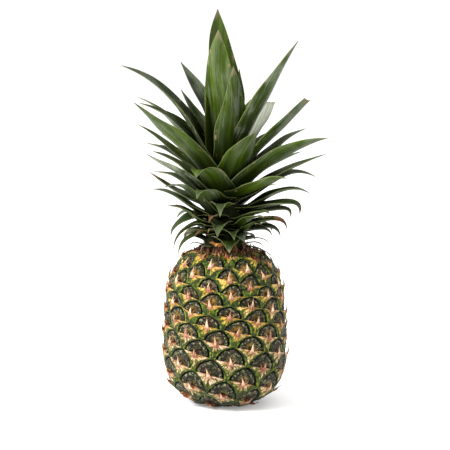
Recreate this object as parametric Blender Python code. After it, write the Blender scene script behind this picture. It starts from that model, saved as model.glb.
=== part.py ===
"""A ripe pineapple that stands on its base, with its crown of leaves.

Lengths are millimetres until MM turns them into metres, angles are degrees.
+Z is up, the origin is on the ground under the fruit's axis, and an azimuth of 0
faces -Y and grows towards +X.
"""

import math
import random

import bmesh
import bpy
from mathutils import Vector

MM = 0.001

# The fruit's outline over the tops of its eyes, from the rim it rests on to its neck: radius, height.
OUTLINE = (
    (18.0, 0.0), (27.5, 1.8), (34.0, 5.0), (41.0, 10.0), (46.6, 15.2), (50.0, 20.0), (52.6, 26.0),
    (54.8, 36.0), (55.8, 52.0), (55.2, 72.0), (53.3, 96.5), (50.6, 113.0), (45.7, 124.0), (37.5, 135.0),
    (31.5, 138.6), (21.5, 141.0),
)
OUTLINE_STEPS = 16
REST_RADIUS = 17.0
NECK_RADIUS = 18.5
NECK_HEIGHT = 140.0

# Eyes follow one spiral: each is a golden angle round from the last and a little higher.
EYE_TURN = 137.508
FIRST_EYE_AZIMUTH = 5.0
FIRST_EYE_RISE = 68.6
LOWEST_EYE = -34
HIGHEST_EYE = 100
RIGHT_ROW = 8
LEFT_ROW = 13
# Length along the outline, and the ground that an eye covers there in square millimetres.
EYE_AREAS = ((5.7, 575.0), (48.6, 575.0), (91.6, 371.0), (134.6, 304.0), (177.5, 359.0))
# The eight rows have drifted apart unevenly: degrees per eye upwards, and millimetres up the fruit.
ROW_DRIFTS = (-0.03, -0.015, 0.12, 0.0, 0.14, -0.07, 0.165, -0.04)
ROW_LIFTS = (0.0, -1.0, 2.2, 0.0, 1.0, 1.5, 1.5, -0.7)
ROW_LIFT_EYES = 30.0
# The last eyes crowd together within these lengths of the outline's two ends.
BASE_CROWDING = 8.0
NECK_CROWDING = 9.0
RELIEF_FADE = 9.0

# An eye's disc swells over the eyes above it: how far its upper sides bulge at their middles.
SIDE_BULGE = 2.3
SIDE_STEPS = 2
EDGE_DEPTH = 0.1
# The groove round the upper half of the disc, and the disc's round shoulder inside it: share of the
# way from the eye's middle to its edge, and depth.
GROOVE = (0.92, 3.0)
SHOULDER = (0.80, 0.4)
# Both rings stand this far above the lip where they meet it.
RING_RISE = 0.5
DISC_DEPTH = 1.3
PIT_DEPTH = 1.9
LIP_LIFT = 0.8
WING_LIFT = 0.3
WING_REACH = 0.45
SPIKE_LENGTH = 6.5
SPIKE_STAND = 2.6
SPIKE_HALF_WIDTH = 1.7
SPIKE_LEAN = 2.2

STALK_RADIUS = 12.4
STALK_LENGTH = 5.0
FIT_GAP = 0.3
STALK_SIDES = 24

# The stem that carries the leaves: radius, height.
STEM = ((18.0, 140.3), (18.0, 147.0), (16.0, 165.0), (12.5, 187.0), (8.0, 207.0), (3.0, 215.0))
STEM_SIDES = 14
ROOT_DEPTH = 4.0
HANDLE = 0.38

# How each form of leaf narrows and folds: width at the root, share of the length over which that
# fades, power of the taper, depth of the trough per width, and width left at the tip.
FORMS = {
    "blade": (1.10, 0.25, 3.0, 0.32, 0.0),
    "broad": (1.00, 0.30, 3.6, 0.22, 0.0),
    "scale": (1.15, 0.30, 1.5, 0.22, 0.0),
    "cut": (1.00, 0.25, 2.0, 0.30, 0.72),
    "thread": (1.00, 0.01, 1.8, 0.20, 0.0),
}
KEEL_THICKNESS = 1.7
TIP_THICKNESS = 0.9
FLATTEN = 0.6
SECTION_LENGTH = 15.0
FEWEST_SECTIONS = 5

# The leaves that the view shows, from the lowest up: azimuth, height of the root on the stem,
# reach and height of the tip, width, rise of the leaf at its root and slope at its tip, roll, form.
LEAVES = (
    (78, 144, 51, 131, 3, 8, -35, 0, "thread"),
    (62, 146, 41, 145, 4, 15, -50, 0, "thread"),
    (92, 148, 43, 142, 4, 25, -65, 0, "thread"),
    (-48, 144, 44, 147, 4, 8, -70, 0, "thread"),
    (-42, 144, 32, 144, 4, 8, -75, 0, "thread"),
    (-14, 144, 34, 149, 20, 20, -30, 0, "scale"),
    (5, 151, 45, 145, 28, 0, -65, 0, "scale"),
    (-77, 155, 43, 138, 10, 22, -82, -10, "blade"),
    (-97, 161, 47, 140, 11, 35, -85, -10, "blade"),
    (-65, 155, 41, 156, 14, 25, -55, -10, "scale"),
    (-40, 155, 41, 158, 12, 25, -45, 0, "scale"),
    (-25, 156, 36, 161, 10, 25, -50, 0, "scale"),
    (24, 157, 43, 153, 20, -5, -55, 0, "scale"),
    (10, 158, 47, 157, 20, 5, -55, 0, "scale"),
    (66, 157, 46, 156, 14, 8, -70, 10, "scale"),
    (48, 155, 44, 167, 11, 10, -30, 0, "blade"),
    (86, 158, 50, 153, 10, 12, -75, 15, "blade"),
    (72, 161, 58, 162, 10, 15, -82, 15, "blade"),
    (34, 161, 61, 177, 12, 5, -15, 0, "blade"),
    (-70, 161, 56, 183, 12, 25, 0, -15, "blade"),
    (-8, 165, 48, 160, 22, 5, -62, 0, "scale"),
    (-84, 167, 49, 153, 14, 35, -85, -15, "blade"),
    (42, 167, 59, 180, 13, 5, -12, 0, "blade"),
    (-80, 168, 66, 197, 12, 26, 4, -15, "blade"),
    (-18, 169, 46, 172, 15, 15, -55, 0, "scale"),
    (84, 169, 59, 171, 12, 8, -100, 15, "blade"),
    (-56, 170, 65, 202, 13, 42, -15, 10, "blade"),
    (84, 172, 77, 192, 15, 20, -38, 10, "blade"),
    (74, 175, 69, 176, 15, 4, -100, 15, "blade"),
    (-98, 177, 69, 210, 13, 22, 40, -15, "blade"),
    (-4, 181, 62, 180, 25, 0, -68, 0, "scale"),
    (92, 181, 82, 206, 16, 24, -30, 18, "blade"),
    (-26, 183, 56, 194, 27, 10, -62, 0, "scale"),
    (-68, 184, 75, 231, 16, 38, 32, 12, "blade"),
    (-104, 184, 68, 228, 13, 45, 15, -15, "blade"),
    (88, 185, 92, 228, 14, 24, 14, 15, "blade"),
    (47, 188, 75, 212, 20, 12, 0, -15, "blade"),
    (-122, 189, 85, 232, 18, 52, 8, -15, "blade"),
    (-108, 190, 85, 252, 12, 52, 28, -15, "blade"),
    (62, 190, 102, 247, 24, 38, 10, -22, "blade"),
    (108, 192, 78, 248, 20, 42, 22, 8, "blade"),
    (-30, 190, 50, 212, 31, 45, -65, 0, "broad"),
    (30, 195, 53, 252, 31, 62, 38, 0, "broad"),
    (-60, 195, 92, 278, 26, 46, 36, 20, "blade"),
    (-90, 197, 77, 273, 20, 60, 12, -22, "blade"),
    (-85, 197, 92, 307, 24, 64, 18, -22, "blade"),
    (76, 198, 76, 277, 20, 50, 42, -12, "cut"),
    (138, 200, 53, 272, 20, 72, 65, 0, "cut"),
    (-132, 201, 54, 282, 20, 82, 50, 0, "blade"),
    (-142, 204, 66, 306, 24, 88, 42, 0, "blade"),
    (66, 204, 70, 330, 24, 70, 55, -20, "blade"),
    (22, 205, 20, 307, 28, 72, 94, 0, "broad"),
    (140, 206, 20, 302, 18, 78, 98, 0, "blade"),
    (-20, 208, 17, 339, 40, 84, 92, 0, "broad"),
    (-150, 210, 13, 356, 42, 88, 92, 0, "broad"),
)

# Short scales wrap the foot of the stem. They keep to the crown's own spiral, all round: lowest and
# highest root, reach, height of the tip over the root, width, rise, slope at the tip.
CROWN_TURN = 137.508
COLLAR_LEAVES = 11
COLLAR_ROOTS = (143.4, 158.5)
COLLAR_SIZE = (32.5, 7.3, 19.0, 30.0, -5.0)

# The leaves behind keep to the same spiral. These are their sizes at heights up the stem: root
# height, reach, tip height, width, rise, slope at the tip.
REAR_SIZES = (
    (147, 44, 144, 9, 10, -70), (157, 49, 150, 11, 15, -65), (167, 57, 173, 13, 20, -35),
    (177, 72, 200, 14, 24, -5), (189, 88, 235, 17, 42, 14), (197, 80, 269, 20, 58, 22),
    (204, 62, 297, 22, 76, 45),
)
SPIRAL_LEAVES = 72
REAR_FROM = 113.0
REAR_TO = 247.0
SPREAD = 0.10
SEED = 7


def clear_scene():
    for item in list(bpy.data.objects):
        bpy.data.objects.remove(item, do_unlink=True)


def material(name, color, roughness):
    made = bpy.data.materials.new(name)
    made.use_nodes = True
    shader = made.node_tree.nodes["Principled BSDF"]
    shader.inputs["Base Color"].default_value = (*color, 1.0)
    shader.inputs["Roughness"].default_value = roughness
    shader.inputs["Metallic"].default_value = 0.0
    return made


def part(name, points, faces, finish):
    """An object of these points, in millimetres, and faces."""
    mesh = bpy.data.meshes.new(name)
    mesh.from_pydata([Vector(point) * MM for point in points], [], faces)
    mesh.validate()
    mesh.materials.append(finish)
    made = bpy.data.objects.new(name, mesh)
    bpy.context.collection.objects.link(made)
    return made


def turned(azimuth, radius, height):
    """The point at this azimuth, distance from the axis and height."""
    angle = math.radians(azimuth)
    return Vector((radius * math.sin(angle), -radius * math.cos(angle), height))


def between(table, key):
    """The row of a table at this key, its first column, read in straight lines."""
    for low, high in zip(table, table[1:]):
        if key <= high[0]:
            break
    share = min(max((key - low[0]) / (high[0] - low[0]), 0.0), 1.0)
    return [a + (b - a) * share for a, b in zip(low, high)]


class Rind:
    """The smooth surface under the eyes, addressed by azimuth and length along the outline."""

    def __init__(self):
        ends = [OUTLINE[0], *OUTLINE, OUTLINE[-1]]
        self.points = []
        for a, b, c, d in zip(ends, ends[1:], ends[2:], ends[3:]):
            for step in range(OUTLINE_STEPS):
                self.points.append(self.curve(a, b, c, d, step / OUTLINE_STEPS))
        self.points.append(OUTLINE[-1])
        self.lengths = [0.0]
        for a, b in zip(self.points, self.points[1:]):
            self.lengths.append(self.lengths[-1] + math.dist(a, b))
        self.length = self.lengths[-1]

    @staticmethod
    def curve(a, b, c, d, t):
        """A point on the smooth curve through b and c."""
        return tuple(
            0.5 * (2 * q + (r - p) * t + (2 * p - 5 * q + 4 * r - s) * t * t + (3 * q - p - 3 * r + s) * t ** 3)
            for p, q, r, s in zip(a, b, c, d)
        )

    def at(self, length):
        """Radius and height there, and the outline's direction."""
        length = min(max(length, 0.0), self.length)
        index = 0
        while index < len(self.lengths) - 2 and self.lengths[index + 1] < length:
            index += 1
        (r0, z0), (r1, z1) = self.points[index], self.points[index + 1]
        run = self.lengths[index + 1] - self.lengths[index]
        share = (length - self.lengths[index]) / run
        return r0 + (r1 - r0) * share, z0 + (z1 - z0) * share, (r1 - r0) / run, (z1 - z0) / run

    def crowded(self, length):
        """Draws lengths past either end of the outline back onto it, in the same order."""
        if length < BASE_CROWDING:
            return BASE_CROWDING * math.exp(length / BASE_CROWDING - 1.0)
        left = self.length - length
        if left < NECK_CROWDING:
            return self.length - NECK_CROWDING * math.exp(left / NECK_CROWDING - 1.0)
        return length

    def fade(self, length):
        """How much of the relief is left near the ends."""
        return min(1.0, length / RELIEF_FADE, (self.length - length) / RELIEF_FADE)

    def point(self, azimuth, length, lift, along=0.0):
        """The point at a place on the rind, raised by lift and moved on along the outline."""
        length = self.crowded(length)
        fade = self.fade(length)
        radius, height, run, rise = self.at(length)
        radius += (rise * lift + run * along) * fade
        height += (-run * lift + rise * along) * fade
        return turned(azimuth, radius, max(height, 0.0))


class Eyes:
    """The spiral of eyes: each eye's azimuth and length along the outline."""

    def __init__(self, rind):
        margin = RIGHT_ROW + LEFT_ROW + 1
        self.rises = {0: FIRST_EYE_RISE}
        for eye in range(1, HIGHEST_EYE + margin + 1):
            self.rises[eye] = self.rises[eye - 1] + self.step(rind, self.rises[eye - 1])
        for eye in range(-1, LOWEST_EYE - margin - 1, -1):
            self.rises[eye] = self.rises[eye + 1] - self.step(rind, self.rises[eye + 1])

    @staticmethod
    def step(rind, length):
        """How much further up the outline the next eye sits."""
        _, area = between(EYE_AREAS, length)
        return area / (2.0 * math.pi * rind.at(length)[0])

    def place(self, eye):
        """An eye's azimuth and its length along the outline."""
        row = eye % RIGHT_ROW
        azimuth = FIRST_EYE_AZIMUTH + eye * EYE_TURN + ROW_DRIFTS[row] * max(eye, 0)
        return azimuth, self.rises[eye] + ROW_LIFTS[row] * min(max(eye / ROW_LIFT_EYES, 0.0), 1.0)

    def step_between(self, eye, other):
        """Degrees, the short way round, and millimetres from one eye to another."""
        (azimuth, rise), (other_azimuth, other_rise) = self.place(eye), self.place(other)
        return Vector(((other_azimuth - azimuth + 180.0) % 360.0 - 180.0, other_rise - rise))

    def corner(self, eye, first):
        """The step from this eye to where four eyes meet, the lowest of them first."""
        four = (first, first + RIGHT_ROW, first + LEFT_ROW, first + RIGHT_ROW + LEFT_ROW)
        return sum((self.step_between(eye, other) for other in four), Vector((0.0, 0.0))) / 4.0


def bulged_side(start, end, degrees, bulge):
    """Steps between two corners, moved away from the eye by so many millimetres at the middle."""
    middle = start + end
    out = Vector((middle.x / degrees, middle.y)).normalized()
    out.x *= degrees
    steps = []
    for index in range(1, SIDE_STEPS):
        t = index / SIDE_STEPS
        steps.append(start.lerp(end, t) + out * bulge * 4.0 * t * (1.0 - t))
    return steps


def eye_edge(eyes, eye, degrees):
    """Keys and steps from the eye to the points round it, from the right corner, anticlockwise."""
    right, top = eye - LEFT_ROW, eye
    left, bottom = eye - RIGHT_ROW, eye - RIGHT_ROW - LEFT_ROW
    firsts = (right, top, left, bottom)
    corners = [eyes.corner(eye, first) for first in firsts]
    # Each side is kept under the lower eye that it belongs to, in that eye's direction.
    sides = ((eye, RIGHT_ROW, 1), (eye, LEFT_ROW, 1), (left, RIGHT_ROW, -1), (right, LEFT_ROW, -1))
    keys, steps = [], []
    for index, (owner, row, way) in enumerate(sides):
        keys.append(("corner", firsts[index]))
        keys += [("side", owner, row, place) for place in range(1, SIDE_STEPS)][::way]
        steps.append(corners[index])
        steps += bulged_side(corners[index], corners[(index + 1) % 4], degrees, SIDE_BULGE * way)
    return keys, steps


def build_eye(rind, eyes, eye, points, shared, faces, chance):
    """One eye: a disc with a groove round it, and below a bract with a raised lip and a point."""
    azimuth, rise = eyes.place(eye)
    radius = rind.at(rind.crowded(rise))[0]
    degrees = math.degrees(1.0 / radius)

    def add(step, across, up, lift, along=0.0):
        """A point so many steps from the eye, then so many millimetres across and up."""
        place = rind.point(azimuth + step.x + across * degrees, rise + step.y + up, lift, along)
        points.append(place)
        return len(points) - 1

    keys, steps = eye_edge(eyes, eye, degrees)
    edge = []
    for key, step in zip(keys, steps):
        if key not in shared:
            shared[key] = add(step, 0.0, 0.0, -EDGE_DEPTH)
        edge.append(shared[key])
    half = 2 * SIDE_STEPS
    rings = []
    for share, depth in (GROOVE, SHOULDER):
        rises = [RING_RISE if index in (0, half) else 0.0 for index in range(half + 1)]
        rings.append([add(step * share, 0.0, up, -depth) for step, up in zip(steps, rises)])
    groove, shoulder = rings
    right, left, here = steps[0] * WING_REACH, steps[half] * WING_REACH, Vector((0.0, 0.0))
    disc = add(steps[SIDE_STEPS] * 0.4, 0.0, 0.0, -DISC_DEPTH)
    pit = [add(left, 0.0, 0.9, -PIT_DEPTH), add(here, 0.0, 1.2, -PIT_DEPTH), add(right, 0.0, 0.9, -PIT_DEPTH)]
    wings = [add(left, 0.0, -0.5, WING_LIFT), add(right, 0.0, -0.5, WING_LIFT)]
    root = [add(here, -SPIKE_HALF_WIDTH, -0.5, LIP_LIFT), add(here, SPIKE_HALF_WIDTH, -0.5, LIP_LIFT)]
    bract = add(here, 0.0, -3.0, LIP_LIFT)
    lean = chance.uniform(-SPIKE_LEAN, SPIKE_LEAN)
    tip = add(here, lean, 0.0, SPIKE_STAND, SPIKE_LENGTH)

    for outer, inner in ((edge, groove), (groove, shoulder)):
        for index in range(half):
            faces.append((outer[index], outer[index + 1], inner[index + 1], inner[index]))
    upper = [*shoulder, *pit]
    faces.extend((a, b, disc) for a, b in zip(upper, upper[1:] + upper[:1]))
    # The wall under the lip, from the left corner to the right.
    left_wall = (pit[0], shoulder[half], groove[half], edge[half])
    right_wall = (edge[0], groove[0], shoulder[0], pit[2])
    faces.extend((a, b, wings[0]) for a, b in zip(left_wall, left_wall[1:]))
    faces.extend((a, b, wings[1]) for a, b in zip(right_wall, right_wall[1:]))
    faces.append((pit[1], pit[0], wings[0], root[0]))
    faces.append((pit[2], pit[1], root[1], wings[1]))
    faces.extend(((pit[1], root[0], tip), (root[1], pit[1], tip)))
    faces.extend(((root[0], bract, tip), (bract, root[1], tip)))
    lower = [root[0], wings[0], *edge[half:], edge[0], wings[1], root[1]]
    faces.extend((a, b, bract) for a, b in zip(lower, lower[1:]))


def edge_loops(faces):
    """The open edges of a mesh as closed chains of points, each in the faces' own direction."""
    sides = set()
    for face in faces:
        sides.update(zip(face, face[1:] + face[:1]))
    follows = {a: b for a, b in sides if (b, a) not in sides}
    loops = []
    while follows:
        start, after = follows.popitem()
        loop = [start]
        while after != start:
            loop.append(after)
            after = follows.pop(after)
        loops.append(loop)
    return loops


def close_loop(points, faces, loop, rings):
    """Closes an open chain with rings of the same azimuths, the last one filled by a flat face."""
    for radius, height in rings:
        ring = []
        for index in loop:
            azimuth = math.degrees(math.atan2(points[index].x, -points[index].y))
            points.append(turned(azimuth, radius, height))
            ring.append(len(points) - 1)
        for index in range(len(loop)):
            after = (index + 1) % len(loop)
            faces.append((loop[after], loop[index], ring[index], ring[after]))
        loop = ring
    faces.append(tuple(reversed(loop)))


def build_fruit():
    """The fruit grew as one body: eyes fused edge to edge, a flat base and a flat neck."""
    rind = Rind()
    eyes = Eyes(rind)
    chance = random.Random(SEED)
    points, shared, faces = [], {}, []
    for eye in range(LOWEST_EYE, HIGHEST_EYE + 1):
        build_eye(rind, eyes, eye, points, shared, faces, chance)
    socket = STALK_RADIUS + FIT_GAP
    base = ((REST_RADIUS, 0.0), (socket, 0.0), (socket, STALK_LENGTH + FIT_GAP))
    neck = ((NECK_RADIUS, NECK_HEIGHT),)
    loops = sorted(edge_loops(faces), key=lambda loop: sum(points[index].z for index in loop))
    for loop, rings in zip(loops, (base, neck)):
        close_loop(points, faces, loop, rings)
    part("fruit", points, faces, material("ripe rind", (0.16, 0.14, 0.03), 0.45))


def build_stalk():
    """The cut end of the stalk, in the hollow of the base and flush with it."""
    finish = material("cut stalk", (0.42, 0.30, 0.14), 0.8)
    bpy.ops.mesh.primitive_cylinder_add(
        vertices=STALK_SIDES, radius=STALK_RADIUS * MM, depth=STALK_LENGTH * MM,
        location=(0.0, 0.0, STALK_LENGTH * MM / 2.0),
    )
    stalk = bpy.context.object
    stalk.name = "cut_stalk"
    stalk.data.materials.append(finish)


def stem_radius(height):
    return between([(z, radius) for radius, z in STEM], height)[1]


def leaf_body(azimuth, root_height, reach, tip_height, width, rise, slope, roll, form):
    """Points and faces of one leaf: a trough with a thick keel and thin margins."""
    start_width, widening, taper, trough, tip_width = FORMS[form]
    root = Vector((stem_radius(root_height) - ROOT_DEPTH, root_height))
    tip = Vector((reach, tip_height))
    chord = (tip - root).length
    sections = max(FEWEST_SECTIONS, round(chord / SECTION_LENGTH))
    near = root + HANDLE * chord * Vector((math.cos(math.radians(rise)), math.sin(math.radians(rise))))
    far = tip - HANDLE * chord * Vector((math.cos(math.radians(slope)), math.sin(math.radians(slope))))
    outward, across = turned(azimuth, 1.0, 0.0), turned(azimuth + 90.0, 1.0, 0.0)
    points, faces = [], []
    for section in range(sections + 1):
        t = section / sections
        u = 1.0 - t
        r, z = u ** 3 * root + 3 * u * u * t * near + 3 * u * t * t * far + t ** 3 * tip
        run, climb = (u * u * (near - root) + 2 * u * t * (far - near) + t * t * (tip - far)).normalized()
        centre = outward * r + Vector((0.0, 0.0, z))
        upper = Vector((0.0, 0.0, run)) - outward * climb
        turn = math.radians(roll) * min(1.0, 2.0 * t)
        side = across * math.cos(turn) + upper * math.sin(turn)
        face = upper * math.cos(turn) - across * math.sin(turn)
        half = width / 2.0 * (start_width + (1.0 - start_width) * min(1.0, t / widening))
        half *= tip_width + (1.0 - tip_width) * (1.0 - t ** taper)
        depth = 2.0 * half * trough * (1.0 - FLATTEN * t)
        thick = KEEL_THICKNESS + (TIP_THICKNESS - KEEL_THICKNESS) * t
        if section == sections and tip_width == 0.0:
            points.append(centre)
            break
        points += [
            centre - face * thick / 2.0, centre + side * half + face * depth,
            centre + face * thick / 2.0, centre - side * half + face * depth,
        ]
    for section in range(sections):
        a = 4 * section
        for index in range(4):
            after = (index + 1) % 4
            if len(points) == a + 5:
                faces.append((a + index, a + after, a + 4))
            else:
                faces.append((a + index, a + after, a + 4 + after, a + 4 + index))
    faces.append((3, 2, 1, 0))
    if len(points) % 4 == 0:
        last = len(points) - 4
        faces.append((last, last + 1, last + 2, last + 3))
    return points, faces


def collar_leaves():
    """The short scales round the foot of the stem."""
    reach, climb, width, rise, slope = COLLAR_SIZE
    low, high = COLLAR_ROOTS
    for leaf in range(COLLAR_LEAVES):
        height = low + (high - low) * leaf / (COLLAR_LEAVES - 1)
        yield leaf * CROWN_TURN, height, reach, height + climb, width, rise, slope, 0.0, "scale"


def rear_leaves():
    """The leaves on the crown's far side, on its spiral, each a little unlike the last."""
    chance = random.Random(SEED)
    low, high = REAR_SIZES[0][0], REAR_SIZES[-1][0]
    for leaf in range(SPIRAL_LEAVES):
        azimuth = leaf * CROWN_TURN % 360.0
        height = low + (high - low) * leaf / (SPIRAL_LEAVES - 1)
        _, reach, tip_height, width, rise, slope = between(REAR_SIZES, height)
        reach *= 1.0 + chance.uniform(-SPREAD, SPREAD)
        lift = (tip_height - height) * chance.uniform(-SPREAD, SPREAD)
        roll = chance.uniform(-12.0, 12.0)
        if REAR_FROM < azimuth < REAR_TO:
            yield azimuth, height, reach, tip_height + lift, width, rise, slope, roll, "blade"


def build_stem(finish):
    points, faces = [], []
    for radius, height in STEM:
        points += [turned(360.0 * side / STEM_SIDES, radius, height) for side in range(STEM_SIDES)]
    for ring in range(len(STEM) - 1):
        for side in range(STEM_SIDES):
            a, b = ring * STEM_SIDES + side, ring * STEM_SIDES + (side + 1) % STEM_SIDES
            faces.append((a, b, b + STEM_SIDES, a + STEM_SIDES))
    faces.append(tuple(range(STEM_SIDES))[::-1])
    faces.append(tuple(range(len(points) - STEM_SIDES, len(points))))
    return part("crown", points, faces, finish)


def fuse(base, pieces):
    """Joins the pieces to the base as one body."""
    group = bpy.data.collections.new("pieces")
    bpy.context.scene.collection.children.link(group)
    for piece in pieces:
        bpy.context.collection.objects.unlink(piece)
        group.objects.link(piece)
    union = base.modifiers.new("union", "BOOLEAN")
    union.operation = "UNION"
    union.solver = "MANIFOLD"
    union.operand_type = "COLLECTION"
    union.collection = group
    bpy.context.view_layer.objects.active = base
    bpy.ops.object.modifier_apply(modifier=union.name)
    for piece in pieces:
        bpy.data.objects.remove(piece, do_unlink=True)
    bpy.data.collections.remove(group)


def keep_largest_body(item):
    """Drops the scraps and fills the sealed hollows that fusing leaves."""
    shape = bmesh.new()
    shape.from_mesh(item.data)
    unseen = set(shape.verts)
    bodies = []
    while unseen:
        reached = [unseen.pop()]
        for vert in reached:
            for edge in vert.link_edges:
                other = edge.other_vert(vert)
                if other in unseen:
                    unseen.remove(other)
                    reached.append(other)
        bodies.append(reached)
    bodies.sort(key=len)
    bmesh.ops.delete(shape, geom=[vert for body in bodies[:-1] for vert in body], context="VERTS")
    shape.to_mesh(item.data)
    shape.free()


def build_crown():
    """The short stem above the fruit with every leaf fused to it."""
    finish = material("crown leaf", (0.045, 0.10, 0.022), 0.5)
    crown = build_stem(finish)
    leaves = [*LEAVES, *collar_leaves(), *rear_leaves()]
    pieces = [part(f"leaf_{index}", *leaf_body(*leaf), finish) for index, leaf in enumerate(leaves)]
    fuse(crown, pieces)
    keep_largest_body(crown)


clear_scene()
build_fruit()
build_stalk()
build_crown()
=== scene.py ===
import math
import random

import bpy
import numpy as np
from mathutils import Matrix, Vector, noise


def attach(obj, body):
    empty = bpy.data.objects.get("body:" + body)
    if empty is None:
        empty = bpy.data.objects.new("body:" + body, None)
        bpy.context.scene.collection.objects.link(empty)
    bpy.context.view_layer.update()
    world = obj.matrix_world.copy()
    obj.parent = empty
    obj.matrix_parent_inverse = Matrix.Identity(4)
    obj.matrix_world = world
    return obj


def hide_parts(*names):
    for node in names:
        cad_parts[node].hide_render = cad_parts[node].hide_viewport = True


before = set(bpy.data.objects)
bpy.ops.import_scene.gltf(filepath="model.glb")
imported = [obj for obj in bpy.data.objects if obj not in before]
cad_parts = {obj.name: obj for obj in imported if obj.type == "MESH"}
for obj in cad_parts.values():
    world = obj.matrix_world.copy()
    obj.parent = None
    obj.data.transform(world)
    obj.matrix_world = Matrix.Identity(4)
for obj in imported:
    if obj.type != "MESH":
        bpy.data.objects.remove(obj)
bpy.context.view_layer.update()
MM = 0.001


# The rind. A pineapple's skin is about 130 fruitlets, the eyes, grown together in two sets of spirals.
# Each has a round dished disc of dark waxy sepals with a deep groove over it, and below the disc a
# bract, a thick scale whose top edge is a lip with a wing to either side and a dry point in the middle.

# The outline over the tops of the eyes, from the rim it rests on to its neck: radius, height, in mm.
OUTLINE = (
    (18.0, 0.0), (27.5, 1.8), (34.0, 5.0), (41.0, 10.0), (46.6, 15.2), (50.0, 20.0), (52.6, 26.0),
    (54.8, 36.0), (55.8, 52.0), (55.2, 72.0), (53.3, 96.5), (50.6, 113.0), (45.7, 124.0), (37.5, 135.0),
    (31.5, 138.6), (21.5, 141.0),
)
REST_RADIUS = 17.0
NECK_RADIUS = 18.5
NECK_HEIGHT = 140.0
SOCKET_RADIUS = 12.7
SOCKET_DEPTH = 5.3

# The eyes' one spiral, with the rows of neighbours eight and thirteen eyes on.
EYE_TURN = 137.508
FIRST_EYE_AZIMUTH = 5.0
FIRST_EYE_RISE = 68.6
LOWEST_EYE = -34
HIGHEST_EYE = 100
RIGHT_ROW = 8
LEFT_ROW = 13
# Length along the outline, and the ground that an eye covers there in square millimetres.
EYE_AREAS = ((5.7, 575.0), (48.6, 575.0), (91.6, 371.0), (134.6, 304.0), (177.5, 359.0))
# The eight rows have drifted apart unevenly: degrees per eye upwards, and millimetres up the fruit.
ROW_DRIFTS = (-0.03, -0.015, 0.12, 0.0, 0.14, -0.07, 0.165, -0.04)
ROW_LIFTS = (0.0, -1.0, 2.2, 0.0, 1.0, 1.5, 1.5, -0.7)
ROW_LIFT_EYES = 30.0
BASE_CROWDING = 8.0
NECK_CROWDING = 9.0
RELIEF_FADE = 9.0

SIDE_STEPS = 13
# A disc swells over the eyes above it: how far an eye's upper sides bulge at their middles.
SIDE_BULGE = 2.6
# The disc of an eye of the usual area, above its lip.
EYE_AREA = 370.0
DISC_HALF_WIDTH = 11.2
DISC_HEIGHT = 13.4
DISC_CLEARANCE = 0.97
DISC_RINGS = (0.0, 0.13, 0.26, 0.38, 0.5, 0.61, 0.71, 0.79, 0.86, 0.92, 0.96, 1.0)
MARGIN_WIDTH = 1.1
MARGIN_LIFT = -0.25
EDGE_LIFT = -0.1
# Height over the outline at shares of the way from an eye's middle to the groove round its disc.
DISC_LIFT = (
    (0.0, 0.15, 0.3, 0.5, 0.65, 0.75, 0.82, 0.88, 0.93, 0.97, 1.0),
    (-2.0, -2.4, -2.0, -1.3, -0.9, -0.35, -0.2, -0.4, -1.2, -2.6, -3.2),
)
# The same for the bract, at shares of the way to the edge of the eye.
BRACT_LIFT = ((0.0, 0.25, 0.5, 0.75, 0.9, 1.0), (1.2, 1.1, 0.8, 0.45, 0.15, -0.1))
STAR_SAG = 0.8
LIP_OVERHANG = 0.6
SEPAL_BUMP = 0.28
RUFFLE = 0.5
RUFFLE_SIZE = 2.7
# How much one disc differs from the next: shares of its width and height, number of ribs all round
# and how far its middle swells or sinks.
DISC_WIDTHS = (0.95, 1.05)
DISC_HEIGHTS = (0.94, 1.04)
SEPAL_RIBS = (13.0, 17.0)
PLUMPNESS = 0.35
EYE_SEED = 11


def smooth(low, high, value):
    """0 up to low, 1 from high on, and a soft step between."""
    share = np.clip((np.asarray(value, float) - low) / (high - low), 0.0, 1.0)
    return share * share * (3.0 - 2.0 * share)


def rounded(points, steps):
    """A smooth curve through points, with so many steps from each to the next."""
    given = np.array([points[0], *points, points[-1]], float)
    t = (np.arange(steps) / steps)[:, None]
    runs = []
    for a, b, c, d in zip(given, given[1:], given[2:], given[3:]):
        runs.append(0.5 * (2 * b + (c - a) * t + (2 * a - 5 * b + 4 * c - d) * t ** 2
                           + (3 * b - a - 3 * c + d) * t ** 3))
    return np.vstack([*runs, given[-1:]])


outline = rounded(OUTLINE, 24)
outline_lengths = np.concatenate([[0.0], np.cumsum(np.hypot(*np.diff(outline, axis=0).T))])
outline_length = outline_lengths[-1]
outline_course = np.gradient(outline, outline_lengths, axis=0)
outline_course /= np.hypot(*outline_course.T)[:, None]


def crowded(length):
    """Draws lengths past either end of the outline back onto it, in the same order."""
    low = BASE_CROWDING * np.exp(np.minimum(length / BASE_CROWDING - 1.0, 0.0))
    left = outline_length - length
    high = outline_length - NECK_CROWDING * np.exp(np.minimum(left / NECK_CROWDING - 1.0, 0.0))
    return np.where(length < BASE_CROWDING, low, np.where(left < NECK_CROWDING, high, length))


def on_rind(azimuth, length, lift):
    """Points in metres at azimuths and lengths along the outline, raised by lift."""
    length = crowded(length)
    lift = lift * np.clip(np.minimum(length, outline_length - length) / RELIEF_FADE, 0.0, 1.0)
    radius, height = (np.interp(length, outline_lengths, column) for column in outline.T)
    run, rise = (np.interp(length, outline_lengths, column) for column in outline_course.T)
    radius = radius + rise * lift
    height = np.maximum(height - run * lift, 0.0)
    angle = np.radians(azimuth)
    return np.stack([radius * np.sin(angle), -radius * np.cos(angle), height], axis=-1) * MM


def eye_step(length):
    """How much further up the outline the next eye of the spiral sits."""
    area = np.interp(length, *np.array(EYE_AREAS).T)
    return area / (2.0 * math.pi * np.interp(length, outline_lengths, outline[:, 0]))


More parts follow.
